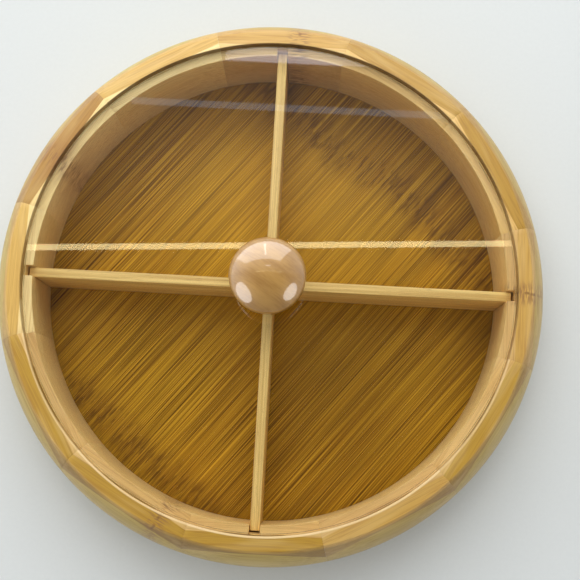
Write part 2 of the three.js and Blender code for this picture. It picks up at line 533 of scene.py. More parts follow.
@dataclass(frozen=True)
class StaveFinish:
    """Laminated bamboo: three strips glued side by side, with fibres along the stave."""

    number: int
    turn: float
    tone: StaveTone
    floor: float
    seat: float
    shoulder: float
    rim: float
    rebate: float
    joint: float | None = None
    stain: float = 0.0
    inner_glue: float = 122.3 * MM
    outer_glue: float = 132.0 * MM
    glue_width: float = 0.25 * MM
    fibre: Cell = cell_mm(30.0, 0.4, 0.4)
    ring: Cell = cell_mm(120.0, 1.1, 1.1)
    cloud: Cell = cell_mm(40.0, 5.0, 9.0)
    streak_tone: int = 0xBE9450
    streak_share: float = 0.4
    streak_span: Span = (0.42, 0.66)
    cloud_tone: int = 0xFFE2A0
    cloud_share: float = 0.16
    cloud_span: Span = (0.42, 0.7)
    # Painted light: the inner wall is paler near the floor, against the shade at its foot.
    foot_light_tone: int = 0xFFEEBC
    foot_light_share: float = 0.4
    foot_light_rise: float = 28.0 * MM
    ledge_blend: Span = (-0.5 * MM, -0.1 * MM)
    # Painted shade: the middle strip is darker below the shoulder, most at the front.
    side_shade_tone: int = 0x6E4E20
    side_shade_share: float = 0.26
    side_shade_blend: Span = (-0.8 * MM, -2.2 * MM)
    # Painted shade in the step that the lid drops into, darker at the back.
    step_shade_tone: int = 0x523616
    step_shade_share: float = 0.52
    step_shade_swing: float = 0.32
    step_inside: Span = (-0.5 * MM, -0.1 * MM)
    step_outside: Span = (0.1 * MM, 0.6 * MM)
    step_above: Span = (-1.0 * MM, -0.1 * MM)
    # Painted highlight along the rim's inner edge, on the front staves only.
    edge_light_shade_tone: int = 0xFFE2AC
    edge_light_shade_share: float = 0.75
    highlight_near: Span = (0.7 * MM, 1.2 * MM)
    highlight_top: Span = (-1.0 * MM, -0.6 * MM)
    wander: Cell = cell_mm(30.0, 4.0, 4.0)
    wander_reach: float = 3.0 * MM
    fleck: Cell = cell_mm(5.0, 0.7, 0.7)
    fleck_tone: int = 0x96683A
    fleck_share: float = 0.75
    fleck_span: Span = (0.47, 0.6)
    fleck_reach: Span = (2.0 * MM, 8.0 * MM)
    stain_cloud: Cell = cell_mm(14.0, 3.0, 6.0)
    stain_tone: int = 0x9A6434
    stain_span: Span = (0.3, 0.6)
    stain_reach: Span = (1.0 * MM, 22.0 * MM)
    line_break: Cell = cell_mm(9.0, 2.0, 2.0)
    line_tone: int = 0x7E5228
    line_share: float = 0.8
    line_span: Span = (0.4, 0.6)
    line_reach: Span = (0.2 * MM, 1.1 * MM)
    belly_line: float = 0.4
    rough: Span = (0.34, 0.46)
    coat: float = 0.1
    coat_haze: float = 0.25

    @property
    def front(self) -> float:
        """How far the stave is towards the front: 1 there and -1 at the back."""
        return -math.sin(self.turn)

    def material(self) -> Material:
        """Write the stave's material.

        Returns:
            The material, turned to lie along this stave.
        """
        recipe = Recipe(f"laminated_bamboo_{self.number:02d}")
        space = recipe.space(QUARTER_TURN - self.turn)
        along, out, height = recipe.axes(space)
        fibre = recipe.noise(space, self.fibre, seed=self.number)
        ring = recipe.noise(space, self.ring, detail=1.0, seed=self.number + 0.4)
        cloud = recipe.noise(space, self.cloud, seed=self.number + 0.7)
        half = self.glue_width / 2.0
        past_inner = recipe.ramp(out, self.inner_glue - half, self.inner_glue + half)
        past_outer = recipe.ramp(out, self.outer_glue - half, self.outer_glue + half)
        colour = self.strips(recipe, past_inner, past_outer, height)
        streak = recipe.ramp(recipe.sum((fibre, 0.6), (ring, 0.4)), *self.streak_span)
        streak = recipe.times(streak, self.streak_share)
        colour = recipe.mix(streak, colour, tint(self.streak_tone), "MULTIPLY")
        pale = recipe.times(recipe.ramp(cloud, *self.cloud_span), self.cloud_share)
        colour = recipe.mix(pale, colour, tint(self.cloud_tone))
        on_rim = recipe.times(past_inner, recipe.ramp(past_outer, 0.0, 1.0, 1.0, self.belly_line))
        colour = self.joint_marks(recipe, space, along, on_rim, colour)
        colour = self.lid_step_shade_and_highlight(recipe, recipe.far(along, out), height, colour)
        rough = recipe.ramp(fibre, *NOISE_SPAN, *self.rough)
        relief = recipe.bump(recipe.sum((fibre, 0.7), (ring, 0.3)), GRAIN_DEPTH, GRAIN_STRENGTH)
        return recipe.surface(Base_Color=colour, Roughness=rough, Normal=relief, Coat_Weight=self.coat,
                              Coat_Roughness=self.coat_haze)

    def strips(self, recipe: Recipe, past_inner: Socket, past_outer: Socket, height: Socket) -> Socket:
        """Colour the three strips, with painted light and shade on the ledge, the wall's foot and the side
        below the shoulder.

        Args:
            recipe: The material being written.
            past_inner: 1 outside the inner glue line.
            past_outer: 1 outside the outer glue line.
            height: Height above the ground.

        Returns:
            The colour.
        """
        wall, ledge, middle, outer = (tint(code) for code in self.tone.value)
        # Painted light: the wall is paler towards the floor.
        low = recipe.ramp(height, self.floor, self.floor + self.foot_light_rise, self.foot_light_share, 0.0)
        face = recipe.mix(low, wall, tint(self.foot_light_tone))
        # Painted light and shade: the ledge is the same strip as the wall but gets its own tone.
        on_ledge = recipe.edge(height, self.seat, self.ledge_blend)
        inner = recipe.mix(on_ledge, face, ledge)
        # Painted shade below the shoulder: none at the back and strongest at the front.
        dark = self.side_shade_share * (1.0 + self.front)
        below = recipe.edge(height, self.shoulder, self.side_shade_blend, 0.0, dark)
        core = recipe.mix(below, middle, tint(self.side_shade_tone))
        return recipe.mix(past_outer, recipe.mix(past_inner, inner, core), outer)

    def lid_step_shade_and_highlight(self, recipe: Recipe, reach: Socket, height: Socket, colour: Socket) -> Socket:
        """Paint shade into the step that the lid drops into, and a highlight on the rim's inner edge above
        it.

        Args:
            recipe: The material being written.
            reach: Distance from the tray's axis.
            height: Height above the ground.
            colour: The colour so far.

        Returns:
            The colour with the step.
        """
        # Painted shade in the step, darkest at the back, where the wall faces away from the light.
        dark = self.step_shade_share - self.step_shade_swing * self.front
        inside = recipe.edge(reach, self.rebate, self.step_inside)
        outside = recipe.edge(reach, self.rebate, self.step_outside, 1.0, 0.0)
        above = recipe.edge(height, self.seat, self.step_above, 0.0, dark)
        step = recipe.times(recipe.times(inside, outside), above)
        colour = recipe.mix(step, colour, tint(self.step_shade_tone))
        # Painted highlight on the rim's inner edge, at the front only.
        pale = self.edge_light_shade_share * max(self.front, 0.0)
        near = recipe.edge(reach, self.rebate, self.highlight_near, 1.0, 0.0)
        top = recipe.edge(height, self.rim, self.highlight_top, 0.0, pale)
        return recipe.mix(recipe.times(near, top), colour, tint(self.edge_light_shade_tone))

    def joint_marks(self, recipe: Recipe, space: Socket, along: Socket, on_rim: Socket,
                    colour: Socket) -> Socket:
        """Mark the place where a joint of the cane crosses the stave.

        Args:
            recipe: The material being written.
            space: The stave's own coordinates.
            along: Distance along the stave from its middle.
            on_rim: How strongly the joint's line shows there.
            colour: The colour so far.

        Returns:
            The marked colour.
        """
        if self.joint is None:
            return colour
        wander = recipe.noise(space, self.wander, detail=1.0, seed=self.number + 0.2)
        place = recipe.sum((along, 1.0), (wander, self.wander_reach))
        apart = recipe.off(place, self.joint + self.wander_reach / 2.0)
        flecks = recipe.noise(space, self.fleck, detail=1.0, seed=self.number + 0.9)
        near = recipe.ramp(apart, *self.fleck_reach, self.fleck_share, 0.0)
        marks = recipe.times(recipe.ramp(flecks, *self.fleck_span), near)
        colour = recipe.mix(marks, colour, tint(self.fleck_tone))
        if self.stain:
            cloud = recipe.noise(space, self.stain_cloud, seed=self.number + 0.5)
            wide = recipe.ramp(apart, *self.stain_reach, self.stain, 0.0)
            stain = recipe.times(wide, recipe.ramp(cloud, *self.stain_span))
            return recipe.mix(stain, colour, tint(self.stain_tone))
        broken = recipe.noise(space, self.line_break, detail=1.0, seed=self.number + 0.3)
        line = recipe.ramp(apart, *self.line_reach, self.line_share, 0.0)
        line = recipe.times(line, recipe.ramp(broken, *self.line_span))
        return recipe.mix(recipe.times(line, on_rim), colour, tint(self.line_tone))


@dataclass(frozen=True)
class LightShadePatch:
    """A round patch of painted light and shade: its middle, how far it reaches, its strength and its
    colour, darker for shade and paler for light.
    """

    middle: tuple[float, float]
    reach: float
    share: float
    tone: int

    def lay(self, recipe: Recipe, colour: Socket) -> Socket:
        """Lay the patch over a colour, fading outwards.

        Args:
            recipe: The material being written.
            colour: The colour so far.

        Returns:
            The colour with the patch.
        """
        x, y, _ = recipe.axes(recipe.space())
        apart = recipe.far(recipe.off(x, self.middle[0]), recipe.off(y, self.middle[1]))
        return recipe.mix(recipe.ramp(apart, 0.0, self.reach, self.share, 0.0), colour, tint(self.tone))


@dataclass(frozen=True)
class FloorFinish:
    """Flattened bamboo: dense dark fibres across the tray, with two bands where the cane's joints were."""

    grain: float = math.radians(51.0)
    joints: tuple[float, float] = (87.0 * MM, -108.0 * MM)
    hair: Cell = cell_mm(80.0, 0.4, 0.4)
    vein: Cell = cell_mm(160.0, 0.75, 0.75)
    band: Cell = cell_mm(200.0, 8.0, 8.0)
    patch: Cell = cell_mm(110.0, 45.0, 45.0)
    wander: Cell = cell_mm(900.0, 30.0, 30.0)
    fleck: Cell = cell_mm(9.0, 1.3, 1.3)
    deep_tone: int = 0x895F0A
    light_tone: int = 0xB98B12
    vein_share: float = 0.42
    vein_span: Span = (0.34, 0.66)
    band_share: float = 0.4
    warm_tone: int = 0xAA6E0A
    warm_share: float = 0.3
    warm_span: Span = (0.38, 0.58)
    bright_hair: int = 0xDCA822
    bright_span: Span = (0.52, 0.66)
    dark_hair: int = 0x4E2E00
    dark_span: Span = (0.46, 0.34)
    hair_share: float = 0.8
    # Painted shade along the wall: its tone, its strength, where it begins and ends, and how far its middle
    # is shifted.
    edge_light_shade_tone: int = 0x5A3A06
    edge_light_shade_share: float = 0.3
    edge_start: float = 82.0 * MM
    edge_end: float = 119.0 * MM
    edge_shift: float = 12.0 * MM
    joint_tone: int = 0x6A400C
    joint_share: float = 0.15
    joint_swing: float = 26.0 * MM
    joint_reach: Span = (2.0 * MM, 14.0 * MM)
    fleck_tone: int = 0x4A2A06
    fleck_share: float = 0.5
    fleck_span: Span = (0.48, 0.62)
    rough: Span = (0.52, 0.40)
    sheen: float = 0.12
    light_and_shade_spots: tuple[LightShadePatch, ...] = (
        # Painted shade where the flat divider's shadow falls, partly the floor's own darker wood.
        LightShadePatch((34.0 * MM, -46.0 * MM), 90.0 * MM, 0.36, 0x6A4202),
        # Painted pool of light on the upper floor, where the back light falls.
        LightShadePatch((2.0 * MM, 38.0 * MM), 95.0 * MM, 0.42, 0xDAA422),
    )

    def material(self) -> Material:
        """Write the floor's material.

        Returns:
            The material, with its fibres along the grain.
        """
        recipe = Recipe("flattened_bamboo")
        space = recipe.space(-self.grain)
        along, _, _ = recipe.axes(space)
        hair = recipe.noise(space, self.hair, detail=1.0, seed=1.0)
        vein = recipe.ramp(recipe.noise(space, self.vein, detail=1.0, seed=2.0), *self.vein_span)
        band = recipe.ramp(recipe.noise(space, self.band, detail=1.0, seed=3.0), *self.vein_span)
        patch = recipe.noise(space, self.patch, detail=1.0, seed=4.0)
        tone = recipe.sum((vein, self.vein_share), (band, self.band_share))
        colour = recipe.mix(tone, tint(self.deep_tone), tint(self.light_tone))
        warm = recipe.ramp(recipe.sum((patch, 0.6), (band, 0.2)), *self.warm_span)
        colour = recipe.mix(recipe.times(warm, self.warm_share), colour, tint(self.warm_tone))
        bright = recipe.ramp(hair, *self.bright_span, 0.0, self.hair_share)
        colour = recipe.mix(bright, colour, tint(self.bright_hair))
        dark = recipe.ramp(hair, *self.dark_span, 0.0, self.hair_share)
        colour = recipe.mix(dark, colour, tint(self.dark_hair))
        # Patches of painted light and shade.
        for spot in self.light_and_shade_spots:
            colour = spot.lay(recipe, colour)
        # Painted shade in a ring along the wall, stronger towards the back.
        x, y, _ = recipe.axes(recipe.space())
        reach = recipe.far(x, recipe.off(y, -self.edge_shift))
        shade = recipe.ramp(reach, self.edge_start, self.edge_end, 0.0, self.edge_light_shade_share)
        colour = recipe.mix(shade, colour, tint(self.edge_light_shade_tone))
        for i, place in enumerate(self.joints):
            colour = self.joint_band(recipe, space, along, place, 5.0 + i, colour)
        rough = recipe.ramp(hair, *NOISE_SPAN, *self.rough)
        relief = recipe.bump(recipe.sum((hair, 0.7), (vein, 0.3)), GRAIN_DEPTH, GRAIN_STRENGTH)
        return recipe.surface(Base_Color=colour, Roughness=rough, Normal=relief,
                              Specular_IOR_Level=self.sheen)

    def joint_band(self, recipe: Recipe, space: Socket, along: Socket, place: float, seed: float,
                   colour: Socket) -> Socket:
        """Darken flecks where a joint of the cane ran across the sheet.

        Args:
            recipe: The material being written.
            space: The floor's own coordinates, turned to the grain.
            along: Distance along the grain.
            place: Where the joint is along the grain.
            seed: Offset for this band's own flecks.
            colour: The colour so far.

        Returns:
            The colour with the band.
        """
        wander = recipe.noise(space, self.wander, seed=seed)
        line = recipe.sum((along, 1.0), (wander, self.joint_swing))
        apart = recipe.off(line, place + self.joint_swing / 2.0)
        near = recipe.ramp(apart, *self.joint_reach, 1.0, 0.0)
        flecks = recipe.noise(space, self.fleck, detail=1.0, seed=seed + 0.5)
        marks = recipe.times(recipe.ramp(flecks, *self.fleck_span), near)
        colour = recipe.mix(recipe.times(near, self.joint_share), colour, tint(self.joint_tone))
        return recipe.mix(recipe.times(marks, self.fleck_share), colour, tint(self.fleck_tone))


@dataclass(frozen=True)
class BoardFinish:
    """Pale planed bamboo, with straight fibres along a divider."""

    name: str
    turn: float
    fibre: Cell = cell_mm(60.0, 0.5, 0.5)
    vein: Cell = cell_mm(150.0, 1.8, 3.0)
    fleck: Cell = cell_mm(7.0, 0.45, 0.45)
    deep_tone: int = 0xD0A658
    light_tone: int = 0xEECA78
    tone_span: Span = (0.36, 0.64)
    fleck_tone: int = 0xA97C42
    fleck_share: float = 0.45
    fleck_span: Span = (0.62, 0.74)
    rough: Span = (0.44, 0.54)

    def material(self) -> Material:
        """Write the board's material.

        Returns:
            The material, with its fibres along the board.
        """
        recipe = Recipe(self.name)
        space = recipe.space(-self.turn)
        fibre = recipe.noise(space, self.fibre, seed=self.turn)
        vein = recipe.noise(space, self.vein, detail=1.0, seed=self.turn + 2.0)
        tone = recipe.ramp(recipe.sum((fibre, 0.5), (vein, 0.5)), *self.tone_span)
        colour = recipe.mix(tone, tint(self.deep_tone), tint(self.light_tone))
        flecks = recipe.noise(space, self.fleck, detail=1.0, seed=self.turn + 4.0)
        marks = recipe.ramp(flecks, *self.fleck_span, 0.0, self.fleck_share)
        colour = recipe.mix(marks, colour, tint(self.fleck_tone))
        rough = recipe.ramp(fibre, *NOISE_SPAN, *self.rough)
        relief = recipe.bump(fibre, GRAIN_DEPTH, GRAIN_STRENGTH)
        return recipe.surface(Base_Color=colour, Roughness=rough, Normal=relief)


@dataclass(frozen=True)
class KnobFinish:
    """Turned hardwood under gloss lacquer, with short curved flecks of grain."""

    grain: float = math.radians(-32.0)
    fleck: Cell = cell_mm(6.0, 0.6, 3.0)
    figure: Cell = cell_mm(30.0, 4.5, 12.0)
    deep_tone: int = 0xA87A38
    light_tone: int = 0xBE9048
    tone_span: Span = (0.36, 0.64)
    pore_tone: int = 0x8E6030
    pore_share: float = 0.35
    pore_span: Span = (0.60, 0.72)
    rough: Span = (0.28, 0.36)
    relief: float = 0.3
    coat_haze: float = 0.04
    coat_bend: float = 1.8

    def material(self) -> Material:
        """Write the knob's material.

        Returns:
            The material, with its grain across the knob.
        """
        recipe = Recipe("lacquered_hardwood")
        space = recipe.space(-self.grain)
        fleck = recipe.noise(space, self.fleck, seed=1.0, rough=0.6)
        figure = recipe.noise(space, self.figure, seed=2.0)
        tone = recipe.ramp(recipe.sum((figure, 0.6), (fleck, 0.4)), *self.tone_span)
        colour = recipe.mix(tone, tint(self.deep_tone), tint(self.light_tone))
        pores = recipe.ramp(fleck, *self.pore_span, 0.0, self.pore_share)
        colour = recipe.mix(pores, colour, tint(self.pore_tone))
        rough = recipe.ramp(fleck, *NOISE_SPAN, *self.rough)
        relief = recipe.bump(fleck, POLISHED_DEPTH, self.relief)
        return recipe.surface(Base_Color=colour, Roughness=rough, Normal=relief, Coat_Weight=1.0,
                              Coat_Roughness=self.coat_haze, Coat_IOR=self.coat_bend)


@dataclass(frozen=True)
class LidFinish:
    """Clear cast acrylic with faint waves, which lets the lamps' light through to the tray."""

    tone: int = 0xFCFEFD
    bend: float = 1.49
    haze: float = 0.012
    wave: Cell = cell_mm(60.0, 60.0, 60.0)
    relief: float = 0.2

    def material(self) -> Material:
        """Write the lid's material.

        Returns:
            Glass to the eye, and open to shadow and diffuse rays.
        """
        recipe = Recipe("clear_acrylic")
        wave = recipe.noise(recipe.space(), self.wave, detail=0.0, seed=1.0)
        relief = recipe.bump(wave, POLISHED_DEPTH, self.relief)
        feeds = {
            "Base Color": tint(self.tone),
            "Roughness": self.haze,
            "IOR": self.bend,
            "Transmission Weight": 1.0,
            "Normal": relief,
        }
        glass = recipe.node("BsdfPrincipled", feeds).outputs[0]
        clear = recipe.node("BsdfTransparent", {}).outputs[0]
        path = recipe.node("LightPath", {}).outputs
        inner = recipe.node("MixShader", {0: path["Is Diffuse Ray"], 1: glass, 2: clear}).outputs[0]
        outer = recipe.node("MixShader", {0: path["Is Shadow Ray"], 1: inner, 2: clear}).outputs[0]
        return recipe.finish(outer)


@dataclass(frozen=True)
class SteelFinish:
    """Zinc-plated steel with a fine crystalline bloom."""

    bloom: Cell = cell_mm(0.6, 0.6, 0.6)
    dull_tone: int = 0xA9ACB0
    bright_tone: int = 0xCDD0D2
    tone_span: Span = (0.35, 0.65)
    rough: Span = (0.26, 0.42)

    def material(self) -> Material:
        """Write the steel's material.

        Returns:
            The material.
        """
        recipe = Recipe("zinc_plated_steel")
        bloom = recipe.noise(recipe.space(), self.bloom, detail=3.0, seed=1.0)
        tone = recipe.ramp(bloom, *self.tone_span)
        colour = recipe.mix(tone, tint(self.dull_tone), tint(self.bright_tone))
        rough = recipe.ramp(bloom, *NOISE_SPAN, *self.rough)
        return recipe.surface(Base_Color=colour, Metallic=1.0, Roughness=rough)


@dataclass(frozen=True)
class BackgroundFinish:
    """Plain pale studio paper with a faint tooth."""

    tooth: Cell = cell_mm(2.0, 2.0, 2.0)
    low_tone: int = 0xDDE0DE
    high_tone: int = 0xE1E4E2
    rough: float = 0.9
    sheen: float = 0.1

    def material(self) -> Material:
        """Write the paper's material.

        Returns:
            The material.
        """
        recipe = Recipe("studio_paper")
        tooth = recipe.noise(recipe.space(), self.tooth, seed=1.0)
        colour = recipe.mix(tooth, tint(self.low_tone), tint(self.high_tone))
        return recipe.surface(Base_Color=colour, Roughness=self.rough, Specular_IOR_Level=self.sheen)


@dataclass(frozen=True)
class Fitting:
    """What a finished piece needs to join the frame: its body, material slot and CAD node."""

    body: str
    slot: str
    node: str

    def join(self, piece: Piece, material: Material) -> Piece:
        """Dress a piece and tie it to the frame.

        Args:
            piece: The finished mesh.
            material: Its finish.

        Returns:
            The piece.
        """
        Bench.smooth(piece)
        piece.data.materials.clear()
        piece.data.materials.append(material)
        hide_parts(self.node)
        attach(piece, self.body)
        LOG.info("%s rides on %s for %s", piece.name, self.body, self.node)
        return piece


@dataclass
class WallRing:
    """The bulging wall: staves glued edge to edge, four of them slotted for the dividers."""

    stave_count: int = 12
    slot_every: int = 3
    steps: int = 24
    belly_steps: int = 14
    inner_radius: float = 118.5 * MM
    ledge_width: float = 4.75 * MM
    rim_width: float = 7.2 * MM
    rim_fall: float = 1.4 * MM
    lid_recess: float = 5.5 * MM
    foot_width: float = 5.5 * MM
    floor_lip: float = 4.5 * MM
    glue_line: float = 0.15 * MM
    seam: float = 0.03 * MM
    seam_ease: float = 0.06 * MM
    rim_ease: float = 0.8 * MM
    shoulder_ease: float = 1.6 * MM
    ledge_ease: float = 0.7 * MM
    foot_ease: float = 1.0 * MM
    slot_depth: float = 3.8 * MM
    tones: tuple[StaveTone, ...] = (
        StaveTone.HONEY, StaveTone.TAN, StaveTone.TAN, StaveTone.UMBER, StaveTone.PALE, StaveTone.RUSSET,
        StaveTone.PALE, StaveTone.GOLD, StaveTone.GOLD, StaveTone.GOLD, StaveTone.HONEY, StaveTone.GOLD,
    )
    joints: dict[int, float] = field(default_factory=lambda: {
        0: -1.0 * MM, 3: 8.0 * MM, 5: -6.0 * MM, 8: -19.0 * MM,
    })
    stains: dict[int, float] = field(default_factory=lambda: {5: 0.35})

    def __post_init__(self) -> None:
        """Take heights and widths from the frame and work out what follows from them."""
        self.floor_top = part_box("floor_panel")[1].z
        self.ledge_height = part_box("lid_disc")[0].z
        self.outer_radius = CAD_BOX[1].x
        self.rim_height = self.ledge_height + self.lid_recess
        self.shoulder_height = self.rim_height - self.rim_fall
        self.rebate_radius = self.inner_radius + self.ledge_width
        self.slot_width = 2.0 * (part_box("divider_lower")[1].y + BOARD_CLEARANCE)

    def belly(self, start: Vector, middle: Vector) -> list[Vector]:
        """Points of the round side from an edge to the belly, upright where it gets there.

        Args:
            start: The edge, at the foot or the shoulder.
            middle: The widest point.

        Returns:
            The points, both ends included.
        """
        out = middle.x - start.x
        rise = start.z - middle.z
        radius = (out * out + rise * rise) / (2.0 * out)
        full = 2.0 * math.atan2(out, abs(rise))
        points = []
        for i in range(self.belly_steps + 1):
            angle = full * (1.0 - i / self.belly_steps)
            reach = middle.x - radius * (1.0 - math.cos(angle))
            points.append(at(reach, middle.z + math.copysign(radius * math.sin(angle), rise)))
        return points

    def section(self) -> list[Vector]:
        """Outline the wall's section, up the outside from the foot and down the inside.

        Returns:
            The outline's points.
        """
        rebate = self.rebate_radius
        floor_rebate = self.inner_radius + self.floor_lip
        foot = at(floor_rebate + self.foot_width, 0.0)
        shoulder = at(rebate + self.rim_width, self.shoulder_height)
        widest = at(self.outer_radius, self.rim_height / 2.0)
        side = self.belly(foot, widest)[1:] + self.belly(shoulder, widest)[-2:0:-1]
        under = self.floor_top + self.glue_line
        return eased([
            Corner(floor_rebate, 0.0),
            Corner(foot.x, foot.z, self.foot_ease),
            *(Corner(point.x, point.z) for point in side),
            Corner(shoulder.x, shoulder.z, self.shoulder_ease),
            Corner(rebate, self.rim_height, self.rim_ease),
            Corner(rebate, self.ledge_height),
            Corner(self.inner_radius, self.ledge_height, self.ledge_ease),
            Corner(self.inner_radius, under),
            Corner(floor_rebate, under),
        ])

    def stave(self, slotted: bool) -> Piece:
        """Make one stave about the X axis.

        Args:
            slotted: Whether it takes a divider's end.

        Returns:
            The stave, to be copied.
        """
        piece = Bench.trace("stave_pattern", self.section())
        bpy.ops.mesh.edge_face_add()
        angle = FULL_TURN / self.stave_count - self.seam / self.outer_radius
        Bench.spin(self.steps, angle)
        Bench.move(piece, Vector(ORIGIN), angle / 2.0)
        if slotted:
            reach = self.inner_radius + self.slot_depth
            half = self.slot_width / 2.0
            low = Vector((reach - 2.0 * self.slot_depth, -half, 0.0))
            high = Vector((reach, half, self.rim_height))
            Bench.cut(piece, Bench.block(low, high))
        Bench.bevel(piece, self.seam_ease)
        return piece

    def build(self) -> list[Piece]:
        """Make the staves, stand them round the ring and dress each in its own tone.

        Returns:
            The staves.
        """
        patterns = {True: self.stave(True), False: self.stave(False)}
        made = []
        for i in range(self.stave_count):
            turn = i * FULL_TURN / self.stave_count
            slotted = i % self.slot_every == 0
            piece = Bench.copy(patterns[slotted], f"bamboo_stave_{i + 1:02d}", turn)
            finish = StaveFinish(
                number=i + 1,
                turn=turn,
                tone=self.tones[i],
                floor=self.floor_top,
                seat=self.ledge_height,
                shoulder=self.shoulder_height,
                rim=self.rim_height,
                rebate=self.rebate_radius,
                joint=self.joints.get(i),
                stain=self.stains.get(i, 0.0),
            )
            fitting = Fitting("tray", "ring_bamboo", f"stave_{i + 1:02d}")
            made.append(fitting.join(piece, finish.material()))
        for pattern in patterns.values():
            Bench.scrap(pattern)
        return made


@dataclass
class FloorPanel:
    """The flat disc glued up into the wall from below."""

    steps: int = 192
    edge_ease: float = 0.4 * MM

    def build(self) -> list[Piece]:
        """Turn the disc and dress it.

        Returns:
            The floor.
        """
        low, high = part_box("floor_panel")
        outline = eased([
            Corner(0.0, low.z),
            Corner(high.x, low.z, self.edge_ease),
            Corner(high.x, high.z, self.edge_ease),
            Corner(0.0, high.z),
        ], steps=3)
        piece = Bench.trace("bamboo_floor", outline, closed=False)
        Bench.spin(self.steps)
        Bench.clear()
        return [Fitting("tray", "floor_bamboo", "floor_panel").join(piece, FloorFinish().material())]


@dataclass
class DividerCross:
    """Two boards on edge, halved over each other in the middle of the tray."""

    edge_ease: float = 0.4 * MM

    def board(self, name: str, node: str, across: bool) -> Piece:
        """Make one board along X with its notch, and turn it to its place.

        Args:
            name: The board's name.
            node: The CAD node that it stands for.
            across: Whether it lies along Y, with its notch from below.

        Returns:
            The board.
        """
        low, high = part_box(node)
        half = high.y if across else high.x
        thick = 2.0 * (high.x if across else high.y)
        notch = thick / 2.0 + BOARD_CLEARANCE
        bottom = at(0.0, low.z)
        tall = high.z - low.z
        lap = tall / 2.0 + (BOARD_CLEARANCE if across else 0.0)
        near, far = (0.0, tall) if across else (tall, 0.0)
        corners = [(-half, near), (-notch, near), (-notch, lap), (notch, lap), (notch, near), (half, near),
                   (half, far), (-half, far)]
        outline = [bottom + Vector((x, -thick / 2.0, z)) for x, z in corners]
        piece = Bench.trace(name, outline)
        bpy.ops.mesh.edge_face_add()
        bpy.ops.mesh.extrude_region_move(TRANSFORM_OT_translate={"value": (0.0, thick, 0.0)})
        Bench.weld()
        Bench.move(piece, Vector(ORIGIN), QUARTER_TURN if across else 0.0)
        Bench.bevel(piece, self.edge_ease, segments=3)
        return piece

    def build(self) -> list[Piece]:
        """Make and dress both boards.

        Returns:
            The boards, the lower one first.
        """
        lower = self.board("cross_board_lower", "divider_lower", across=False)
        upper = self.board("cross_board_upper", "divider_upper", across=True)
        lower_look = BoardFinish("planed_bamboo_lower", 0.0).material()
        upper_look = BoardFinish("planed_bamboo_upper", QUARTER_TURN).material()
        return [
            Fitting("lower_divider", "divider_bamboo", "divider_lower").join(lower, lower_look),
            Fitting("upper_divider", "divider_bamboo", "divider_upper").join(upper, upper_look),
        ]


